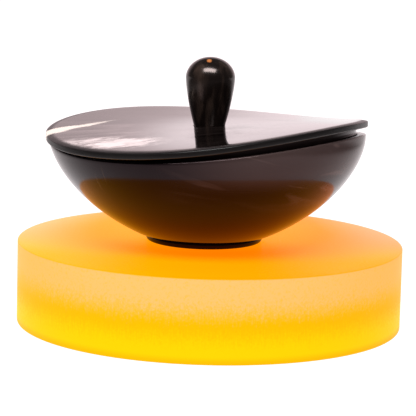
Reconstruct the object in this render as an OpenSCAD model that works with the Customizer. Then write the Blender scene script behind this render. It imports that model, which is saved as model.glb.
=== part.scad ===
/* [Base disc] */
// Diameter of the thick frosted disc
disc_diameter = 94; // [70:1:140]
// Thickness of the disc
disc_thickness = 20; // [6:0.5:30]
// Bevel along the disc's top edge
disc_top_bevel = 0.3; // [0.1:0.1:1.5]
// Rounding along the disc's bottom edge
disc_bottom_round = 0.5; // [0.2:0.1:3]

/* [Placing] */
// How far the dish stands to the right of the disc's centre
dish_right = -1.55; // [-6:0.05:6]
// How far the dish stands behind the disc's centre
dish_back = 2.75; // [-6:0.05:6]

/* [Bowl] */
// Outer radius of the bowl at its widest
bowl_radius = 38.8; // [30:0.1:45]
// Height over which the outer surface would close in to a point
bowl_half_height = 28.8; // [24:0.1:40]
// Height of the level where the wall becomes upright
bowl_widest_height = 26.6; // [22:0.1:34]
// How full the bowl's curve is: 2 is an ellipse, less is more slanted
bowl_fullness = 1.7; // [1.4:0.05:2.4]
// Thickness of the wall at the rim
rim_wall = 2.0; // [1.4:0.1:4]
// Thickness of the floor over the foot
floor_thickness = 3.0; // [2:0.1:6]

/* [Foot ring] */
// Radius of the ring's rounded outer edge
foot_radius = 14.3; // [8:0.1:22]
// Height of the ring with its recessed top
foot_height = 2.1; // [1.4:0.1:4]
// Height of the recessed part, which makes a groove under the bowl
foot_groove_height = 0.4; // [0.2:0.1:1]
// Depth of the groove
foot_groove_depth = 0.5; // [0.2:0.1:1.5]
// Radius of the hole in the ring
foot_bore_radius = 9.5; // [4:0.1:14]

/* [Lid plate] */
// Radius of the lid
lid_radius = 39.2; // [30:0.1:45]
// Thickness of the lid
lid_thickness = 1.8; // [1.2:0.1:4]
// Height of the middle of the lid's top above the disc
lid_height = 28.25; // [20:0.05:40]
// How far in from the edge the lid's top starts to round down
lid_edge_width = 2.6; // [0.4:0.1:5]
// How far the rounding drops at the edge
lid_edge_drop = 0.5; // [0.2:0.1:0.8]
// Rounding of the lid's lower edge
lid_lower_round = 0.35; // [0.1:0.05:0.8]

/* [Saddle shape] */
// Direction of one high end of the saddle, anticlockwise from the right
saddle_turn = -41; // [-90:1:90]
// How far the lid's two high ends rise over its middle
lid_rise = 1.72; // [0:0.01:3]
// How far the bowl's rim rises the same way
rim_rise = 1.4; // [0:0.01:3]
// How far the lid leans up on one side
lid_lean = 2.19; // [0:0.01:4]
// Direction of the side where the lid leans up
lid_lean_turn = -13; // [-90:1:90]
// How far the rim leans up on one side
rim_lean = 1.62; // [0:0.01:4]
// Direction of the side where the rim leans up
rim_lean_turn = -9; // [-90:1:90]
// Height of the three slight waves along both edges
edge_wave = 0.24; // [0:0.01:0.6]
// Direction of one of the waves
edge_wave_turn = -25; // [-60:1:60]
// Drop from the middle of the lid's underside to the level of the rim
rim_drop = 1.05; // [0.5:0.01:3]

/* [Locating flange] */
// Depth of the flange under the lid
flange_depth = 3.0; // [1.5:0.1:6]
// Thickness of the flange
flange_wall = 2.2; // [1:0.1:4]
// Gap between the flange and the inside of the bowl
flange_gap = 0.35; // [0.2:0.05:1]

/* [Knob] */
// How far the knob stands to the right of the lid's middle
knob_right = 0.6; // [-3:0.1:3]
// Radius of the knob at its widest
knob_radius = 6.0; // [4:0.1:10]
// Radius of the knob where it meets the lid
knob_neck_radius = 3.8; // [3:0.05:6]
// Height of the knob over the lid
knob_height = 16.75; // [10:0.05:26]
// Height of the widest level over the lid
knob_widest_height = 11.7; // [6:0.1:16]
// Radius of the tenon that goes through the lid
tenon_radius = 2.2; // [1.5:0.1:3]
// Depth of the flat seat cut into the lid for the knob
seat_depth = 0.35; // [0.25:0.05:0.8]
// Gap round the neck in its seat and round the tenon in its hole
glue_gap = 0.15; // [0.05:0.05:0.3]

/* [View] */
// Part to show

/* [Hidden] */
$fn = 96;
amber = [0.98, 0.76, 0.2];
horn = [0.1, 0.07, 0.06];
horn_lid = [0.16, 0.12, 0.11];
horn_knob = [0.07, 0.05, 0.04];
// number of steps round the saddle surfaces
around = 72;
// number of steps across the rounding of the lid's upper edge
edge_steps = 6;
// number of steps across the rounding of its lower edge
round_steps = 3;
// half the thickness of a block that only cuts
far = 60;
// bottom of the bowl's inside above the disc
well_bottom = foot_height + floor_thickness;
// height over which the inner surface closes in to a point
inner_half_height = bowl_widest_height - well_bottom;
// radius of the inner surface at its widest
inner_radius = bowl_radius - rim_wall;
// middle of the lid's underside above the disc
lid_under = lid_height - lid_thickness;
// middle of the rim above the disc
rim_height = lid_under - rim_drop;
// level above every part of the rim
bowl_stock_top = rim_height + 6;

// radius of a bowl-shaped surface at a height above the disc
function bowl_curve(r, half, z) =
    let (t = max(0, bowl_widest_height - z) / half)
    r * pow(max(0, 1 - pow(t, bowl_fullness)), 1 / bowl_fullness);

// height of the lid's surface over its middle, at a radius and an angle
function lid_wave(r, a) =
    let (q = r / lid_radius)
    lid_lean * q * cos(a - lid_lean_turn)
    + lid_rise * q * q * cos(2 * (a - saddle_turn))
    + edge_wave * q * q * q * cos(3 * (a - edge_wave_turn));

// height of the rim's surface over its middle
function rim_wave(r, a) =
    let (q = r / lid_radius)
    rim_lean * q * cos(a - rim_lean_turn)
    + rim_rise * q * q * cos(2 * (a - saddle_turn))
    + edge_wave * q * q * q * cos(3 * (a - edge_wave_turn));

// cross-section of the lid from the middle of its top, out round the edge
// and back to the middle of its underside; each entry is a radius and a height
top_points = [
    [9, 0], [18, 0], [27, 0], [33, 0],
    for (i = [0:edge_steps])
        let (t = 90 * i / edge_steps)
        [lid_radius - lid_edge_width * (1 - sin(t)),
         -lid_edge_drop * (1 - cos(t))]
];
low_points = [
    for (i = [0:round_steps])
        let (t = 90 * i / round_steps)
        [lid_radius - lid_lower_round * (1 - cos(t)),
         -lid_thickness + lid_lower_round * (1 - sin(t))],
    [33, -lid_thickness], [27, -lid_thickness],
    [18, -lid_thickness], [9, -lid_thickness]
];
lid_points = concat(top_points, low_points);
// radii where the surfaces under the lid bend
slab_radii = [9, 18, 27, 33, lid_radius - lid_lower_round, 46];

// solid between rings of points, closed by one point at each end of the list;
// upright is false where the list starts at the lower end
module ring_solid(rings, start, end, upright = true) {
    n = len(rings);
    m = len(rings[0]);
    flat = [for (r = rings) for (p = r) p];
    points = concat(flat, [start, end]);
    cap = [for (j = [0:m - 1]) [n * m, j, (j + 1) % m]];
    base = [
        for (j = [0:m - 1])
            [n * m + 1, (n - 1) * m + (j + 1) % m, (n - 1) * m + j]
    ];
    first = [
        for (i = [0:n - 2])
            for (j = [0:m - 1])
                [i * m + j, (i + 1) * m + j, (i + 1) * m + (j + 1) % m]
    ];
    second = [
        for (i = [0:n - 2])
            for (j = [0:m - 1])
                [i * m + j, (i + 1) * m + (j + 1) % m, i * m + (j + 1) % m]
    ];
    faces = concat(cap, base, first, second);
    turned = upright ? [for (f = faces) [f[0], f[2], f[1]]] : faces;
    polyhedron(points, turned, convexity = 6);
}

// one ring of points that follows the lid's saddle
function lid_ring(r, z) = [
    for (j = [0:around - 1])
        let (a = 360 * j / around)
        [r * cos(a), r * sin(a), z + lid_wave(r, a)]
];

// one ring of points that follows the rim's saddle
function rim_ring(r, z) = [
    for (j = [0:around - 1])
        let (a = 360 * j / around)
        [r * cos(a), r * sin(a), z + rim_wave(r, a)]
];

// block between two levels that both follow the lid's saddle; its top has
// the same facets as the lid's underside
module lid_slab(high, low) {
    low_rings = [for (r = slab_radii) lid_ring(r, low)];
    top_rings = [for (i = [len(slab_radii) - 1:-1:0]) lid_ring(slab_radii[i], high)];
    ring_solid(concat(low_rings, top_rings), [0, 0, low], [0, 0, high], upright = false);
}

// block above the rim's saddle surface
module above_rim() {
    r_out = slab_radii[len(slab_radii) - 1];
    top_ring = [
        for (j = [0:around - 1])
            let (a = 360 * j / around)
            [r_out * cos(a), r_out * sin(a), far]
    ];
    low_rings = [
        for (i = [len(slab_radii) - 1:-1:0])
            rim_ring(slab_radii[i], rim_height)
    ];
    ring_solid(concat([top_ring], low_rings), [0, 0, far], [0, 0, rim_height]);
}

// moves what it holds to where the dish stands on the disc
module on_disc() {
    translate([dish_right, dish_back, disc_thickness])
        children();
}

// thick disc that the dish stands on
module base_disc() {
    steps = 6;
    r = disc_diameter / 2;
    corner = [
        for (i = [0:steps])
            let (t = 90 * i / steps)
            [r - disc_bottom_round * (1 - sin(t)),
             disc_bottom_round * (1 - cos(t))]
    ];
    color(amber)
        rotate_extrude()
            polygon(concat(
                [[0, 0]],
                corner,
                [
                    [r, disc_thickness - disc_top_bevel],
                    [r - disc_top_bevel, disc_thickness],
                    [0, disc_thickness]
                ]
            ));
}

// open bowl with a rounded well and a saddle-shaped rim
module bowl() {
    steps = 28;
    top = bowl_stock_top;
    outer = [
        for (i = [0:steps])
            let (z = foot_height + (top - foot_height) * pow(i / steps, 1.4))
            [bowl_curve(bowl_radius, bowl_half_height, z), z]
    ];
    inner = [
        for (i = [0:steps])
            let (z = well_bottom + (top + 1 - well_bottom) * pow(i / steps, 1.8))
            [bowl_curve(inner_radius, inner_half_height, z), z]
    ];
    color(horn)
        on_disc()
            difference() {
                rotate_extrude()
                    polygon(concat([[0, foot_height]], outer, [[0, top]]));
                rotate_extrude()
                    polygon(concat(inner, [[0, top + 1]]));
                above_rim();
            }
}

// low ring under the bowl, with a half-round outer edge and a groove over it
module foot_ring() {
    steps = 8;
    h = (foot_height - foot_groove_height) / 2;
    bulge = 0.6 * h;
    groove_radius = foot_radius - bulge - foot_groove_depth;
    edge = [
        for (i = [0:steps])
            let (t = -90 + 180 * i / steps)
            [foot_radius - bulge + bulge * cos(t), h + h * sin(t)]
    ];
    color(horn)
        on_disc()
            rotate_extrude()
                polygon(concat(
                    edge,
                    [
                        [groove_radius, foot_height - foot_groove_height],
                        [groove_radius, foot_height],
                        [foot_bore_radius, foot_height],
                        [foot_bore_radius, 0.3],
                        [foot_bore_radius + 0.3, 0]
                    ]
                ));
}

// thin saddle-shaped lid with a flat seat and a hole for the knob
module lid_plate() {
    rings = [for (p = lid_points) lid_ring(p[0], lid_height + p[1])];
    color(horn_lid)
        on_disc()
            difference() {
                ring_solid(rings, [0, 0, lid_height], [0, 0, lid_under]);
                translate([knob_right, 0, lid_height - seat_depth])
                    cylinder(r = knob_neck_radius + glue_gap, h = 4);
                translate([knob_right, 0, lid_under - 4])
                    cylinder(r = tenon_radius + glue_gap, h = 10);
            }
}

// ring under the lid that drops inside the bowl's mouth
module lid_flange() {
    steps = 10;
    low = lid_under - flange_depth - 6;
    high = lid_under + 6;
    outer = [
        for (i = [0:steps])
            let (z = low + (high - low) * i / steps)
            [bowl_curve(inner_radius, inner_half_height, z) - flange_gap, z]
    ];
    inner = [
        for (i = [steps:-1:0])
            let (z = low + (high - low) * i / steps)
            [bowl_curve(inner_radius, inner_half_height, z) - flange_gap - flange_wall, z]
    ];
    color(horn)
        on_disc()
            intersection() {
                rotate_extrude()
                    polygon(concat(outer, inner));
                lid_slab(lid_under, lid_under - flange_depth);
            }
}

// turned knob with a domed top and a tenon that goes through the lid
module knob() {
    steps = 12;
    base = -seat_depth;
    flank = [
        for (i = [0:steps])
            let (q = i / steps)
            [knob_radius - (knob_radius - knob_neck_radius) * pow(1 - q, 1.5),
             knob_widest_height * q]
    ];
    dome_height = knob_height - knob_widest_height;
    dome = [
        for (i = [1:steps])
            let (t = 90 * i / steps)
            [knob_radius * cos(t), knob_widest_height + dome_height * sin(t)]
    ];
    color(horn_knob)
        on_disc()
            translate([knob_right, 0, lid_height])
                rotate_extrude()
                    polygon(concat(
                        [
                            [0, -lid_thickness],
                            [tenon_radius, -lid_thickness],
                            [tenon_radius, base],
                            [knob_neck_radius, base]
                        ],
                        flank,
                        dome
                    ));
}

base_disc();
bowl();
foot_ring();
lid_plate();
lid_flange();
knob();
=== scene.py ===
"""A lidded dappen dish of polished dark horn on a thick disc of frosted amber plastic."""
import math

import bpy
from mathutils import Matrix, Vector


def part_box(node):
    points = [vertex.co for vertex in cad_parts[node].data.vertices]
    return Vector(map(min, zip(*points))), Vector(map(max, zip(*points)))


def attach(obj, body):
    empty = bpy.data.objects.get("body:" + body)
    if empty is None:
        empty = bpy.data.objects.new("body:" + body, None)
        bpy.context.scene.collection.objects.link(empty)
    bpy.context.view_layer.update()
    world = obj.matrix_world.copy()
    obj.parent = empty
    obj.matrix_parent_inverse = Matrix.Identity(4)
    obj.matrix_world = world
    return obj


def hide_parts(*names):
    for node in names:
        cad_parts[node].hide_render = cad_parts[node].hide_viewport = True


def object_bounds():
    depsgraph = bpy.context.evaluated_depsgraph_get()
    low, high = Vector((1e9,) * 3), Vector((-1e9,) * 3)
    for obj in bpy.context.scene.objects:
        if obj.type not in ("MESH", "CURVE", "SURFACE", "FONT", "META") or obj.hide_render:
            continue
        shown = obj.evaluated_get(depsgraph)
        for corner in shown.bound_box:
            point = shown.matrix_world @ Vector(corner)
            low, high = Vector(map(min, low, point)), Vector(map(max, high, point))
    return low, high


MM = 0.001

# ---------------------------------------------------------------- dimensions
# The same driving dimensions as the CAD model, with the same names, in millimetres.
DISH_RIGHT = -1.55
DISH_BACK = 2.75

BOWL_RADIUS = 38.8
BOWL_HALF_HEIGHT = 28.8
BOWL_WIDEST_HEIGHT = 26.6
BOWL_FULLNESS = 1.7
RIM_WALL = 2.0
FLOOR_THICKNESS = 3.0
RIM_DROP = 1.05

FOOT_RADIUS = 14.3
FOOT_HEIGHT = 2.1
FOOT_GROOVE_HEIGHT = 0.4
FOOT_GROOVE_DEPTH = 0.5
FOOT_BORE_RADIUS = 9.5

LID_RADIUS = 39.2
LID_THICKNESS = 1.8
LID_HEIGHT = 28.25
LID_EDGE_WIDTH = 2.6
LID_EDGE_DROP = 0.5
LID_LOWER_ROUND = 0.35
SADDLE_TURN = math.radians(-41)
LID_RISE = 1.72
RIM_RISE = 1.4
LID_LEAN = 2.19
LID_LEAN_TURN = math.radians(-13)
RIM_LEAN = 1.62
RIM_LEAN_TURN = math.radians(-9)
EDGE_WAVE = 0.24
EDGE_WAVE_TURN = math.radians(-25)

FLANGE_DEPTH = 3.0
FLANGE_WALL = 2.2
FLANGE_GAP = 0.35

KNOB_RIGHT = 0.6
KNOB_RADIUS = 6.0
KNOB_NECK_RADIUS = 3.8
KNOB_HEIGHT = 16.75
KNOB_WIDEST_HEIGHT = 11.7
TENON_RADIUS = 2.2
SEAT_DEPTH = 0.35
GLUE_GAP = 0.15

DISC_TOP_BEVEL = 0.3
DISC_BOTTOM_ROUND = 0.5

# Small shapes, the same as in the CAD model except the lip's rounding: its lip is sharp.
LIP_ROUND = 0.3
FOOT_CHAMFER = 0.3
FOOT_BULGE = 0.6      # how far the foot's edge bulges, against half its height
KNOB_FLARE = 1.5      # how fast the knob widens over its neck

AROUND = 288          # steps round every turned piece
FLAT = 10000          # stretch that leaves one direction out of a material's pattern

# ---------------------------------------------------------------- the frame
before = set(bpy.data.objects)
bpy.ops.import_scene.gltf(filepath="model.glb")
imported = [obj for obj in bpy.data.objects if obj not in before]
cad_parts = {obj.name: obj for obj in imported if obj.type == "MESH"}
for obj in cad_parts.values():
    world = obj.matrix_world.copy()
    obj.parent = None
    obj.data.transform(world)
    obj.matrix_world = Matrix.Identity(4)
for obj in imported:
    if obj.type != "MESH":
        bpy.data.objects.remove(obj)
cad_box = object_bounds()
disc_low, disc_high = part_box("base_disc")
DISC_TOP = disc_high.z / MM
DISC_RADIUS = (disc_high.x - disc_low.x) / 2 / MM

LID_UNDER = LID_HEIGHT - LID_THICKNESS
RIM_HEIGHT = LID_UNDER - RIM_DROP
WELL_BOTTOM = FOOT_HEIGHT + FLOOR_THICKNESS
INNER_RADIUS = BOWL_RADIUS - RIM_WALL
INNER_HALF_HEIGHT = BOWL_WIDEST_HEIGHT - WELL_BOTTOM


# ---------------------------------------------------------------- shapes
def bowl_curve(radius, half_height, z):
    """Radius of a bowl-shaped surface at height z over the disc."""
    t = max(0.0, BOWL_WIDEST_HEIGHT - z) / half_height
    return radius * max(0.0, 1 - t ** BOWL_FULLNESS) ** (1 / BOWL_FULLNESS)


def saddle(r, a, lean, lean_turn, rise):
    """Height of a saddle surface over its middle, at radius r and angle a."""
    q = r / LID_RADIUS
    return (lean * q * math.cos(a - lean_turn)
            + rise * q ** 2 * math.cos(2 * (a - SADDLE_TURN))
            + EDGE_WAVE * q ** 3 * math.cos(3 * (a - EDGE_WAVE_TURN)))


def lid_wave(r, a):
    return saddle(r, a, LID_LEAN, LID_LEAN_TURN, LID_RISE)


def rim_wave(r, a):
    return saddle(r, a, RIM_LEAN, RIM_LEAN_TURN, RIM_RISE)


def arc(centre_r, centre_z, radius_r, radius_z, start, end, steps):
    """Points (r, z) along an arc of an ellipse; the angles are in degrees."""
    points = []
    for i in range(steps + 1):
        t = math.radians(start + (end - start) * i / steps)
        points.append((centre_r + radius_r * math.cos(t), centre_z + radius_z * math.sin(t)))
    return points


def turned(name, section, centre=(DISH_RIGHT, DISH_BACK, 0.0), closed=False):
    """A piece made of rings: section(a) gives the (r, z) points of one slice at angle a.

    An open section starts and ends on the axis. A closed one is a loop, as in a ring.
    """
    first = section(0.0)
    count = len(first)
    verts = []
    faces = []
    rings = range(count) if closed else range(1, count - 1)
    for i in rings:
        for j in range(AROUND):
            a = 2 * math.pi * j / AROUND
            r, z = section(a)[i]
            verts.append(((centre[0] + r * math.cos(a)) * MM,
                          (centre[1] + r * math.sin(a)) * MM,
                          (centre[2] + z) * MM))
    n = len(rings)
    for i in range(n if closed else n - 1):
        for j in range(AROUND):
            k = (j + 1) % AROUND
            here, there = i * AROUND, (i + 1) % n * AROUND
            faces.append((here + j, here + k, there + k, there + j))
    if not closed:
        for ring, (r, z), turn in ((0, first[0], 1), (n - 1, first[-1], -1)):
            verts.append((centre[0] * MM, centre[1] * MM, (centre[2] + z) * MM))
            for j in range(AROUND):
                k = (j + 1) % AROUND
                tri = (len(verts) - 1, ring * AROUND + k, ring * AROUND + j)
                faces.append(tri if turn == 1 else tri[::-1])
    mesh = bpy.data.meshes.new(name)
    mesh.from_pydata(verts, [], faces)
    mesh.validate()
    mesh.polygons.foreach_set("use_smooth", [True] * len(mesh.polygons))
    mesh.set_sharp_from_angle(angle=math.radians(50))
    piece = bpy.data.objects.new(name, mesh)
    bpy.context.scene.collection.objects.link(piece)
    return piece


def cached(section):
    """The same section function, worked out once for each angle."""
    known = {}

    def look_up(a):
        if a not in known:
            known[a] = section(a)
        return known[a]
    return look_up


def disc_section(_):
    r, t = DISC_RADIUS, DISC_TOP
    low, high = DISC_BOTTOM_ROUND, DISC_TOP_BEVEL
    points = [(0, 0), (r * 0.5, 0), (r - 2.5 * low, 0)]
    points += arc(r - low, low, low, low, -90, 0, 10)
    points += [(r, low + (t - low - high) * i / 4) for i in (1, 2, 3)]
    points += arc(r - high, t - high, high, high, 0, 90, 6)
    # rings close to the edge keep the flat faces flat in the shading
    points += [(r - 1.5, t), (r * 0.75, t), (r * 0.5, t), (r * 0.25, t), (0, t)]
    return points


def bowl_section(a):
    steps = 40
    rim_outer = RIM_HEIGHT + rim_wave(LID_RADIUS, a) - LIP_ROUND
    rim_inner = RIM_HEIGHT + rim_wave(INNER_RADIUS, a) - LIP_ROUND
    points = [(0, FOOT_HEIGHT), (FOOT_BORE_RADIUS, FOOT_HEIGHT)]
    # the rings are closer together low down, where the radius grows fastest
    for i in range(steps + 1):
        z = FOOT_HEIGHT + (rim_outer - FOOT_HEIGHT) * (i / steps) ** 1.4
        points.append((bowl_curve(BOWL_RADIUS, BOWL_HALF_HEIGHT, z), z))
    outer = points[-1][0]
    inner = bowl_curve(INNER_RADIUS, INNER_HALF_HEIGHT, rim_inner)
    points += arc(outer - LIP_ROUND, rim_outer, LIP_ROUND, LIP_ROUND, 15, 90, 5)
    points += arc(inner + LIP_ROUND, rim_inner, LIP_ROUND, LIP_ROUND, 90, 165, 5)
    for i in range(steps):
        z = WELL_BOTTOM + (rim_inner - WELL_BOTTOM) * (1 - i / steps) ** 1.8
        points.append((bowl_curve(INNER_RADIUS, INNER_HALF_HEIGHT, z), z))
    points.append((0, WELL_BOTTOM))
    return points


def foot_section(_):
    half = (FOOT_HEIGHT - FOOT_GROOVE_HEIGHT) / 2
    bulge = FOOT_BULGE * half
    groove = FOOT_RADIUS - bulge - FOOT_GROOVE_DEPTH
    points = [(FOOT_BORE_RADIUS + FOOT_CHAMFER, 0)]
    points += arc(FOOT_RADIUS - bulge, half, bulge, half, -90, 90, 16)
    points += [(groove, 2 * half), (groove, FOOT_HEIGHT)]
    points += [(FOOT_BORE_RADIUS, FOOT_HEIGHT), (FOOT_BORE_RADIUS, FOOT_CHAMFER)]
    return points


def lid_section(a):
    """A slice of the lid at angle a round the knob's axis, so that the hole is round."""
    hole = TENON_RADIUS + GLUE_GAP
    seat = KNOB_NECK_RADIUS + GLUE_GAP
    seat_z = LID_HEIGHT - SEAT_DEPTH
    under = [(LID_RADIUS * i / 8, LID_UNDER) for i in range(1, 8)]
    flat = LID_RADIUS - LID_EDGE_WIDTH
    top = [(flat * i / 14, LID_HEIGHT) for i in range(13, 1, -1)]
    edge = arc(LID_RADIUS - LID_LOWER_ROUND, LID_UNDER + LID_LOWER_ROUND,
               LID_LOWER_ROUND, LID_LOWER_ROUND, -90, 0, 5)
    edge += arc(flat, LID_HEIGHT - LID_EDGE_DROP,
                LID_EDGE_WIDTH, LID_EDGE_DROP, 0, 90, 12)
    across, along = KNOB_RIGHT * math.sin(a), KNOB_RIGHT * math.cos(a)
    outer = [(math.sqrt(r ** 2 - across ** 2) - along, z) for r, z in under + edge + top]
    points = []
    for r, z in [(hole, LID_UNDER)] + outer + [(seat, LID_HEIGHT)]:
        x, y = KNOB_RIGHT + r * math.cos(a), r * math.sin(a)
        points.append((r, z + lid_wave(math.hypot(x, y), math.atan2(y, x))))
    return points + [(seat, seat_z), (hole, seat_z)]


def flange_section(a):
    steps = 6
    high = LID_UNDER + lid_wave(INNER_RADIUS - 2, a)
    sides = []
    for inset in (FLANGE_GAP, FLANGE_GAP + FLANGE_WALL):
        side = []
        for i in range(steps + 1):
            z = high - FLANGE_DEPTH * i / steps
            r = bowl_curve(INNER_RADIUS, INNER_HALF_HEIGHT, z) - inset
            side.append((r, LID_UNDER + lid_wave(r, a) - FLANGE_DEPTH * i / steps))
        sides.append(side)
    return sides[1] + sides[0][::-1]


def knob_section(_):
    steps = 28
    flare = KNOB_RADIUS - KNOB_NECK_RADIUS
    points = [(0, -LID_THICKNESS), (TENON_RADIUS, -LID_THICKNESS)]
    points += [(TENON_RADIUS, -SEAT_DEPTH), (KNOB_NECK_RADIUS, -SEAT_DEPTH)]
    for i in range(steps):
        q = i / steps
        points.append((KNOB_RADIUS - flare * (1 - q) ** KNOB_FLARE, KNOB_WIDEST_HEIGHT * q))
    dome = KNOB_HEIGHT - KNOB_WIDEST_HEIGHT
    points += arc(0, KNOB_WIDEST_HEIGHT, KNOB_RADIUS, dome, 0, 90, 24)[:-1]
    points.append((0, KNOB_HEIGHT))
    return points


# ---------------------------------------------------------------- materials
# The indices of refraction are fitted to how strongly each surface shines here, in a room
# that is made up. They are not the real ones: horn is about 1.55.
HORN_IOR = 1.27
LID_IOR = 1.42
KNOB_IOR = 1.5
AMBER_IOR = 1.49
HORN_TINT = (1.0, 0.74, 0.78, 1)
KNOB_TINT = (1.0, 0.82, 0.78, 1)

HORN_DARK = (0.003, 0.0014, 0.0025)
# the brown next serves the streaks and also a painted sheen in the band below the bowl's rim
HORN_BROWN_AND_SHEEN = (0.092, 0.061, 0.057)
HORN_LINE = (0.2, 0.13, 0.08)
HORN_SPECK = (0.3, 0.15, 0.1)
LID_DARK = (0.003, 0.002, 0.002)
LID_BROWN = (0.03, 0.021, 0.02)
LID_SMOKE = (0.16, 0.12, 0.12)
# the pale next serves the lid's clouds and a painted sheen over them
LID_CLOUD_AND_SHEEN = (0.78, 0.66, 0.65)
LID_CREAM = (0.8, 0.7, 0.62)
KNOB_DARK = (0.004, 0.0025, 0.002)
KNOB_BROWN = (0.027, 0.017, 0.013)
KNOB_AMBER = (0.42, 0.14, 0.04)
AMBER_SIDE = (0.2, 0.12, 0.0)
AMBER_SIDE_FROST = (0.3, 0.16, 0.14)
AMBER_TOP = (0.2, 0.15, 0.0)
# the pale next is a painted sheen on the disc's top
AMBER_TOP_SHEEN = (0.35, 0.3, 0.4)
AMBER_GLOW_RED = 1.15

# Patterns on the lid, in millimetres from the dish's axis, to the right and to the back.
SMOKE_AT = (-24, -8)
CLOUD_AND_SHEEN_AT = (-21.5, -21)
STREAK_AT = (-38.5, -4)
STREAK_TURN = math.radians(42)
STREAK_LENGTH = 26.5
STREAK_HALF_WIDTH = 2.7
STREAK_CLOSE = -0.85      # below nothing, so that the streak closes before its end
WORN_EDGE = 0.3           # roughness that the lid's edge has over its top

# A lean in the lid's shading only; the lid's shape has none.
LEAN_HEIGHT = 3.6
LEAN_HALF_WIDTH = 30
LEAN_FRONT = -62
LEAN_BACK = 20


class Nodes:
    """Short ways to add the nodes that the materials are made of."""

    def __init__(self, name):
        self.material = bpy.data.materials.new(name)
        self.material.use_nodes = True
        self.tree = self.material.node_tree
        self.shader = next(n for n in self.tree.nodes if n.type == "BSDF_PRINCIPLED")

    def add(self, kind, inputs=None, **settings):
        node = self.tree.nodes.new(kind)
        for key, value in settings.items():
            setattr(node, key, value)
        for key, value in (inputs or {}).items():
            if isinstance(value, bpy.types.NodeSocket):
                self.tree.links.new(value, node.inputs[key])
            else:
                node.inputs[key].default_value = value
        return node

    def place(self, location=(0, 0, 0), turn=(0, 0, 0), stretch=(1, 1, 1)):
        """Object coordinates in millimetres about a point, turned, then stretched."""
        where = self.add("ShaderNodeTexCoord").outputs["Object"]
        mm = self.add("ShaderNodeVectorMath", {0: where, "Scale": 1 / MM}, operation="SCALE")
        node = self.add("ShaderNodeMapping",
                        {"Vector": mm.outputs[0], "Location": location,
                         "Rotation": turn, "Scale": stretch}, vector_type="TEXTURE")
        return node.outputs[0]

    def noise(self, where, scale, detail=3.0, rough=0.5, bend=0.0):
        return self.add("ShaderNodeTexNoise", {
            "Vector": where, "Scale": scale, "Detail": detail,
            "Roughness": rough, "Distortion": bend}).outputs["Fac"]

    def ramp(self, value, low, high, to_low=0.0, to_high=1.0, smooth=True):
        return self.add("ShaderNodeMapRange", {
            "Value": value, "From Min": low, "From Max": high,
            "To Min": to_low, "To Max": to_high},
            interpolation_type="SMOOTHSTEP" if smooth else "LINEAR").outputs[0]

    def far(self, where):
        """Distance from the middle of the given coordinates."""
        return self.add("ShaderNodeVectorMath", {0: where}, operation="LENGTH").outputs["Value"]

    def reach(self, where, outer, inner):
        """1 within a distance of the middle of the given coordinates, falling to 0 farther out."""
        return self.ramp(self.far(where), outer, inner)

    def math(self, operation, first, second=0.0):
        return self.add("ShaderNodeMath", {0: first, 1: second}, operation=operation).outputs[0]

    def mix(self, amount, first, second):
        node = self.add("ShaderNodeMix", {0: amount}, data_type="RGBA")
        for index, value in ((6, first), (7, second)):
            if isinstance(value, bpy.types.NodeSocket):
                self.tree.links.new(value, node.inputs[index])
            else:
                node.inputs[index].default_value = (*value, 1)
        return node.outputs[2]

    def set(self, **sockets):
        for key, value in sockets.items():
            name = key.replace("_", " ")
            if isinstance(value, bpy.types.NodeSocket):
                self.tree.links.new(value, self.shader.inputs[name])
            else:
                self.shader.inputs[name].default_value = value

    def bump(self, height):
        """Shades the surface as if it were raised by a height in millimetres."""
        node = self.add("ShaderNodeBump", {"Height": height, "Strength": 1.0, "Distance": MM})
        self.tree.links.new(node.outputs[0], self.shader.inputs["Normal"])


def polish(nodes, softness, ior, waves=0.03, relief=0.0, worn=0.0):
    """Faint smudges, fine wear and slight unevenness of a hand-polished surface."""
    where = nodes.place()
    smudge = nodes.noise(where, 0.06, detail=4, rough=0.6)
    fine = nodes.noise(where, 2.4, detail=2)
    rough = nodes.math("ADD", nodes.ramp(smudge, 0.3, 0.75, softness, softness + 0.07),
                       nodes.ramp(fine, 0.4, 0.8, 0.0, 0.03))
    nodes.set(Roughness=nodes.math("ADD", rough, worn), IOR=ior)
    uneven = nodes.math("MULTIPLY", nodes.noise(where, 0.09, detail=2), waves)
    nodes.bump(nodes.math("ADD", uneven, relief))


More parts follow.
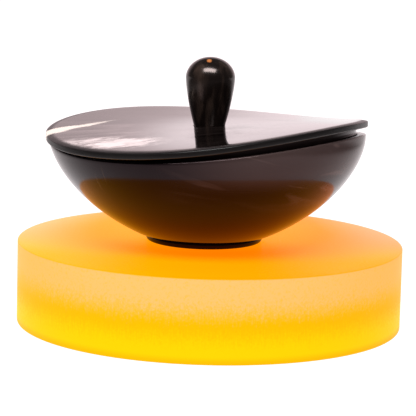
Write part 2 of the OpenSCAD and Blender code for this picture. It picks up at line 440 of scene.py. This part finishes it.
def horn_material():
    """Dark horn with soft brown streaks, for the bowl, its foot and the flange.

    The brown also fills a band below the rim on the right, partly the horn's colour and partly a
    painted sheen, fitted to how pale it looks there.
    """
    nodes = Nodes("polished_horn")
    slant = (0, 0.2, 0.1)
    parts = nodes.add("ShaderNodeSeparateXYZ", {
        0: nodes.place(location=(DISH_RIGHT, DISH_BACK, DISC_TOP))})
    across, back, height = parts.outputs[0], parts.outputs[1], parts.outputs[2]
    # brown streaks high on the right, and an even brown below the rim there that is partly a painted
    # sheen
    right = nodes.ramp(across, -14, 14)
    upper = nodes.ramp(height, 8, 22)
    broad = nodes.noise(nodes.place(turn=slant, stretch=(30, 14, 3.6)), 1.0, detail=3, bend=0.7)
    brown_and_sheen_under_rim = nodes.ramp(height, 16, 22, 0.0, 0.55)
    streaks_and_rim_sheen = nodes.math("MULTIPLY", nodes.math("MULTIPLY", right, upper),
                       nodes.math("MAXIMUM", nodes.ramp(broad, 0.45, 0.72), brown_and_sheen_under_rim))
    base = nodes.mix(streaks_and_rim_sheen, HORN_DARK, HORN_BROWN_AND_SHEEN)
    # a few hair-thin pale lines that run down the left side
    turn = nodes.math("ARCTAN2", back, across)
    lines = nodes.add("ShaderNodeCombineXYZ", {
        0: nodes.math("MULTIPLY", turn, 7.0), 1: nodes.math("MULTIPLY", height, 0.014)}).outputs[0]
    hair = nodes.math("MULTIPLY", nodes.ramp(nodes.noise(lines, 3.0, detail=2), 0.62, 0.74),
                      nodes.ramp(across, -8, -20))
    base = nodes.mix(nodes.math("MULTIPLY", hair, 0.4), base, HORN_LINE)
    specks = nodes.noise(nodes.place(), 0.7, detail=0)
    base = nodes.mix(nodes.ramp(specks, 0.87, 0.89), base, HORN_SPECK)
    nodes.set(Base_Color=base)
    polish(nodes, softness=0.1, ior=HORN_IOR)
    nodes.set(Specular_Tint=HORN_TINT)
    return nodes.material


def lid_material():
    """The same horn with a cream streak at its left edge, pale clouds in front of it that spread into a
    painted sheen, and painted shade on its rounded edge.
    """
    nodes = Nodes("polished_horn_lid")
    axis_x, axis_y = DISH_RIGHT, DISH_BACK
    # faint streaks across the whole lid
    slant = (0, 0, 0.12)
    broad = nodes.noise(nodes.place(turn=slant, stretch=(50, 8, 8)), 1.0,
                        detail=5, rough=0.6, bend=0.5)
    base = nodes.mix(nodes.ramp(broad, 0.4, 0.75), LID_DARK, LID_BROWN)
    # long smoky streaks on the left half
    smoke = nodes.noise(nodes.place(turn=slant, stretch=(24, 3.5, 3.5)), 1.0,
                        detail=4, rough=0.6, bend=0.8)
    smoke_area = nodes.reach(nodes.place(location=(axis_x + SMOKE_AT[0], axis_y + SMOKE_AT[1], 0),
                                         stretch=(20, 26, FLAT)), 1.1, 0.3)
    smoky = nodes.math("MULTIPLY", smoke_area, nodes.ramp(smoke, 0.45, 0.75))
    base = nodes.mix(smoky, base, LID_SMOKE)
    # cloudy patch in front of the streak, widened into a painted sheen where the lid reflects the
    # bright backdrop
    cloud_and_sheen_area = nodes.reach(nodes.place(location=(axis_x + CLOUD_AND_SHEEN_AT[0], axis_y + CLOUD_AND_SHEEN_AT[1], 0),
                                         turn=(0, 0, -0.35), stretch=(17, 10, FLAT)), 1.15, 0.2)
    puffs = nodes.noise(nodes.place(turn=(0, 0, 0.35), stretch=(7, 3.2, 5)), 1.0,
                        detail=5, rough=0.65, bend=0.9)
    clouds_and_sheen = nodes.math("ADD", cloud_and_sheen_area, nodes.ramp(puffs, 0.3, 0.7, -0.6, 0.35, smooth=False))
    clouds_and_sheen = nodes.math("MULTIPLY", nodes.ramp(clouds_and_sheen, 0.1, 1.1), nodes.ramp(cloud_and_sheen_area, 0.0, 0.3))
    base = nodes.mix(clouds_and_sheen, base, LID_CLOUD_AND_SHEEN)
    # the rounded edge is painted darker than the top, a painted shade, and it is less polished
    edge = nodes.ramp(nodes.far(nodes.place(location=(axis_x, axis_y, 0), stretch=(1, 1, FLAT))),
                      LID_RADIUS - LID_EDGE_WIDTH, LID_RADIUS - 0.9)
    base = nodes.mix(edge, base, LID_DARK)
    # cream streak that narrows as it runs in from the left edge
    along = nodes.place(location=(axis_x + STREAK_AT[0], axis_y + STREAK_AT[1], 0),
                        turn=(0, 0, STREAK_TURN))
    wobble = nodes.noise(nodes.place(stretch=(9, 9, 9)), 1.0, detail=3)
    parts = nodes.add("ShaderNodeSeparateXYZ", {0: along})
    half_width = nodes.ramp(parts.outputs[0], 0, STREAK_LENGTH, STREAK_HALF_WIDTH, STREAK_CLOSE,
                            smooth=False)
    off = nodes.math("ABSOLUTE", nodes.math("ADD", parts.outputs[1],
                                            nodes.ramp(wobble, 0.3, 0.7, -0.8, 0.8)))
    inside = nodes.ramp(nodes.math("SUBTRACT", half_width, off), -0.7, 0.7)
    base = nodes.mix(inside, base, LID_CREAM)
    nodes.set(Base_Color=base)
    # shaded along the middle, around the knob, as if the lid sloped down towards the back
    middle = nodes.reach(nodes.place(location=(axis_x - 1, axis_y, 0),
                                     stretch=(LEAN_HALF_WIDTH, FLAT, FLAT)), 1.0, 0.0)
    level = nodes.add("ShaderNodeSeparateXYZ", {0: nodes.place()}).outputs[1]
    lean = nodes.ramp(level, axis_y + LEAN_FRONT, axis_y + LEAN_BACK, LEAN_HEIGHT, 0)
    polish(nodes, softness=0.04, ior=LID_IOR, waves=0.015,
           relief=nodes.math("MULTIPLY", middle, lean),
           worn=nodes.math("MULTIPLY", edge, WORN_EDGE))
    return nodes.material


def knob_material():
    """Nearly black horn with brown lines along it and an amber fleck on top."""
    nodes = Nodes("polished_horn_knob")
    broad = nodes.noise(nodes.place(stretch=(2, 2, 25)), 1.0, detail=3, bend=0.4)
    base = nodes.mix(nodes.ramp(broad, 0.45, 0.75), KNOB_DARK, KNOB_BROWN)
    fleck = nodes.place(location=(ON_LID[0] - 0.4, ON_LID[1] - 3.0, ON_LID[2] + KNOB_HEIGHT - 0.6),
                        stretch=(0.8, 2.2, 0.5))
    base = nodes.mix(nodes.reach(fleck, 1.0, 0.3), base, KNOB_AMBER)
    nodes.set(Base_Color=base)
    polish(nodes, softness=0.15, ior=KNOB_IOR)
    nodes.set(Specular_Tint=KNOB_TINT)
    return nodes.material


def amber_material():
    """Frosted amber plastic: orange on top, yellow low down, hazy between.

    Most of its colour is emission that stands in for light coming through, and the gradients,
    with the painted shade of deeper orange round the foot, stay where they are when the dish is lifted.
    """
    nodes = Nodes("frosted_amber")
    where = nodes.place()
    parts = nodes.add("ShaderNodeSeparateXYZ", {0: where})
    across, back, height = parts.outputs[0], parts.outputs[1], parts.outputs[2]
    from_dish = nodes.far(nodes.place(location=(DISH_RIGHT, DISH_BACK, DISC_TOP)))
    grain = nodes.noise(where, 1.6, detail=3, rough=0.7)
    marks = nodes.noise(nodes.place(stretch=(0.35, 0.35, 3)), 1.0, detail=2)
    mottle = nodes.math("ADD", nodes.ramp(grain, 0.3, 0.7, -1.0, 1.0, smooth=False),
                        nodes.ramp(marks, 0.3, 0.7, -0.7, 0.7, smooth=False))
    uneven = nodes.math("ADD", height, mottle)
    side_haze = nodes.ramp(uneven, 9.0, 16.0)
    on_top = nodes.ramp(height, DISC_TOP - 0.3, DISC_TOP - 0.02)
    # green part of the glow: more to the left and towards the back
    in_front = nodes.ramp(back, 5, -15)
    top_green = nodes.math("ADD", nodes.ramp(back, -47, 25, 0.15, 0.38, smooth=False),
                           nodes.ramp(across, -DISC_RADIUS, DISC_RADIUS, 0.06, -0.06, smooth=False))
    # painted shade: deeper orange close round the dish's foot in front, as under the bowl, eased by a
    # little more green close round the foot all round
    top_green = nodes.math("ADD", top_green, nodes.math("MULTIPLY", in_front, nodes.ramp(
        from_dish, 18, 45, -0.09, 0.06, smooth=False)))
    top_green = nodes.math("ADD", top_green, nodes.ramp(from_dish, 16, 42, 0.05, 0.0))
    side_green = nodes.math("ADD", nodes.ramp(uneven, 3.0, 9.5, 0.55, 0.4),
                            nodes.ramp(across, -DISC_RADIUS, DISC_RADIUS, 0.02, -0.02, smooth=False))
    # painted shade: deeper orange along the very bottom of the side
    side_green = nodes.math("SUBTRACT", side_green, nodes.ramp(height, 0.4, 2.2, 0.14, 0))
    green = nodes.math("ADD", nodes.math("MULTIPLY", on_top, top_green),
                       nodes.math("MULTIPLY", nodes.math("SUBTRACT", 1.0, on_top), side_green))
    glow = nodes.add("ShaderNodeCombineXYZ", {0: AMBER_GLOW_RED, 1: green, 2: 0.0}).outputs[0]
    frost = nodes.math("MULTIPLY", side_haze, nodes.ramp(grain, 0.3, 0.7, 0.55, 1.45, smooth=False))
    side_base = nodes.mix(frost, AMBER_SIDE, AMBER_SIDE_FROST)
    # painted sheen on top: paler towards the back and fainter close to the dish
    top_sheen = nodes.math("MULTIPLY", nodes.ramp(back, -26, 40),
                          nodes.ramp(from_dish, 12, 46, 0.2, 1.0))
    top_base = nodes.mix(top_sheen, AMBER_TOP, AMBER_TOP_SHEEN)
    nodes.set(Base_Color=nodes.mix(on_top, side_base, top_base), IOR=AMBER_IOR, Specular_IOR_Level=0.03,
              Emission_Color=glow, Emission_Strength=1.0)
    nodes.set(Roughness=nodes.ramp(grain, 0.3, 0.7, 0.35, 0.5))
    nodes.bump(nodes.math("MULTIPLY", nodes.noise(where, 4.0, detail=2), 0.012))
    return nodes.material


# ---------------------------------------------------------------- pieces
def show(piece, material, body, node):
    piece.data.materials.append(material)
    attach(piece, body)
    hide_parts(node)


horn = horn_material()
ON_DISC = (DISH_RIGHT, DISH_BACK, DISC_TOP)
KNOB_AXIS = (DISH_RIGHT + KNOB_RIGHT, DISH_BACK, DISC_TOP)
ON_LID = (DISH_RIGHT + KNOB_RIGHT, DISH_BACK, DISC_TOP + LID_HEIGHT)

show(turned("disc", disc_section, centre=(0, 0, 0)), amber_material(),
     "base", "base_disc")
show(turned("dish_bowl", cached(bowl_section), centre=ON_DISC), horn, "dish", "bowl")
show(turned("dish_foot", foot_section, centre=ON_DISC, closed=True), horn,
     "dish", "foot_ring")
show(turned("lid", cached(lid_section), centre=KNOB_AXIS, closed=True), lid_material(),
     "lid", "lid_plate")
show(turned("lid_ring", cached(flange_section), centre=ON_DISC, closed=True), horn,
     "lid", "lid_flange")
show(turned("lid_knob", knob_section, centre=ON_LID), knob_material(),
     "lid", "knob")


# ---------------------------------------------------------------- floor, light, camera
FLOOR_SIZE = 6.0
FLOOR_COLOUR = (0.03, 0.03, 0.03, 1)
FLOOR_GLOW = (1.0, 0.93, 0.94, 1)
FLOOR_SEEN = 1.15         # strength of the glow to the camera
FLOOR_NEAR = 1.2          # to the object, close round it
FLOOR_DIM = 0.1           # to the object, in front and to the sides
FLOOR_BEHIND = 0.95       # to the object, behind it
ROOM_DIM = (0.1, 0.092, 0.092)
BACKDROP_LOW = (1.25, 1.06, 1.09)
BACKDROP_HIGH = (1.0, 0.8, 0.82)
WHITE = (1.0, 1.0, 1.0)
SOFTBOX_DISTANCE = 0.8
SOFTBOX_ELEVATION = math.radians(60)
SOFTBOX_TURN = math.radians(-7)
SOFTBOX_SIZE = (0.7, 0.3)
SOFTBOX_POWER = 12.0


def add_floor():
    """Nearly black floor that glows: evenly pale to the camera, but unevenly to the object.

    What the object reflects is bright close by and behind, and dim in front and to the sides.
    """
    mesh = bpy.data.meshes.new("floor")
    half = FLOOR_SIZE / 2
    mesh.from_pydata([(-half, -half, 0), (half, -half, 0), (half, half, 0), (-half, half, 0)],
                     [], [(0, 1, 2, 3)])
    floor = bpy.data.objects.new("floor", mesh)
    bpy.context.scene.collection.objects.link(floor)
    nodes = Nodes("pale_floor")
    parts = nodes.add("ShaderNodeSeparateXYZ", {0: nodes.place()})
    beside = nodes.ramp(nodes.math("ABSOLUTE", parts.outputs[0]), 120, 230,
                        FLOOR_NEAR, FLOOR_DIM)
    near = nodes.math("MINIMUM", beside, nodes.ramp(
        parts.outputs[1], -180, -90, FLOOR_DIM, FLOOR_NEAR))
    thrown = nodes.math("MAXIMUM", near, nodes.ramp(
        parts.outputs[1], 80, 260, 0.0, FLOOR_BEHIND))
    eye = nodes.add("ShaderNodeLightPath").outputs["Is Camera Ray"]
    strength = nodes.math("MAXIMUM", thrown, nodes.math("MULTIPLY", eye, FLOOR_SEEN))
    nodes.set(Base_Color=FLOOR_COLOUR, Roughness=0.9, Specular_IOR_Level=0.0,
              Emission_Color=FLOOR_GLOW, Emission_Strength=strength)
    mesh.materials.append(nodes.material)


def add_world():
    """Plain white to the camera; to the object, a dim room with a bright backdrop behind it."""
    world = bpy.data.worlds.new("studio")
    bpy.context.scene.world = world
    world.use_nodes = True
    tree = world.node_tree
    background = next(n for n in tree.nodes if n.type == "BACKGROUND")
    where = tree.nodes.new("ShaderNodeTexCoord")
    parts = tree.nodes.new("ShaderNodeSeparateXYZ")
    tree.links.new(where.outputs["Generated"], parts.inputs[0])

    def blend(amount, first, second):
        mix = tree.nodes.new("ShaderNodeMix")
        mix.data_type = "RGBA"
        tree.links.new(amount, mix.inputs[0])
        for index, colour in ((6, first), (7, second)):
            if isinstance(colour, tuple):
                mix.inputs[index].default_value = (*colour, 1)
            else:
                tree.links.new(colour, mix.inputs[index])
        return mix.outputs[2]

    def fade(value, start, end):
        ramp = tree.nodes.new("ShaderNodeMapRange")
        ramp.interpolation_type = "SMOOTHSTEP"
        ramp.inputs["From Min"].default_value = start
        ramp.inputs["From Max"].default_value = end
        tree.links.new(value, ramp.inputs["Value"])
        return ramp.outputs[0]

    backdrop = blend(fade(parts.outputs[2], 0.03, 0.16), BACKDROP_LOW, BACKDROP_HIGH)
    behind = blend(fade(parts.outputs[2], 0.36, 0.58), backdrop, ROOM_DIM)
    room = blend(fade(parts.outputs[1], 0.45, 0.92), ROOM_DIM, behind)
    eye = tree.nodes.new("ShaderNodeLightPath").outputs["Is Camera Ray"]
    tree.links.new(blend(eye, room, WHITE), background.inputs["Color"])


def add_softbox():
    light = bpy.data.lights.new("softbox", "AREA")
    light.shape = "RECTANGLE"
    light.size, light.size_y = SOFTBOX_SIZE
    light.energy = SOFTBOX_POWER
    box = bpy.data.objects.new("softbox", light)
    target = Vector((0, 0, cad_box[1][2] * 0.8))
    level = math.cos(SOFTBOX_ELEVATION)
    away = Vector((level * math.sin(SOFTBOX_TURN), -level * math.cos(SOFTBOX_TURN),
                   math.sin(SOFTBOX_ELEVATION)))
    box.location = target + away * SOFTBOX_DISTANCE
    box.rotation_euler = away.to_track_quat("Z", "Y").to_euler()
    bpy.context.scene.collection.objects.link(box)


# The camera's place and aim, in metres and degrees.
CAMERA_BACK = 0.5761
CAMERA_UP = 0.1276
CAMERA_PITCH = math.radians(9.786)
CAMERA_YAW = math.radians(-0.074)
CAMERA_ROLL = math.radians(1.47)
CAMERA_LENS = 207.1


def add_camera():
    data = bpy.data.cameras.new("camera")
    data.lens = CAMERA_LENS
    data.sensor_width = 36
    camera = bpy.data.objects.new("camera", data)
    ahead = Vector((math.sin(CAMERA_YAW) * math.cos(CAMERA_PITCH),
                    math.cos(CAMERA_YAW) * math.cos(CAMERA_PITCH), -math.sin(CAMERA_PITCH)))
    level = Vector((math.cos(CAMERA_YAW), -math.sin(CAMERA_YAW), 0))
    over = level.cross(ahead)
    right = math.cos(CAMERA_ROLL) * level + math.sin(CAMERA_ROLL) * over
    up = -math.sin(CAMERA_ROLL) * level + math.cos(CAMERA_ROLL) * over
    camera.matrix_world = Matrix((
        (right.x, up.x, -ahead.x, 0),
        (right.y, up.y, -ahead.y, -CAMERA_BACK),
        (right.z, up.z, -ahead.z, CAMERA_UP),
        (0, 0, 0, 1)))
    bpy.context.scene.collection.objects.link(camera)
    bpy.context.scene.camera = camera


add_floor()
add_world()
add_softbox()
add_camera()
bpy.context.scene.view_settings.view_transform = "Standard"
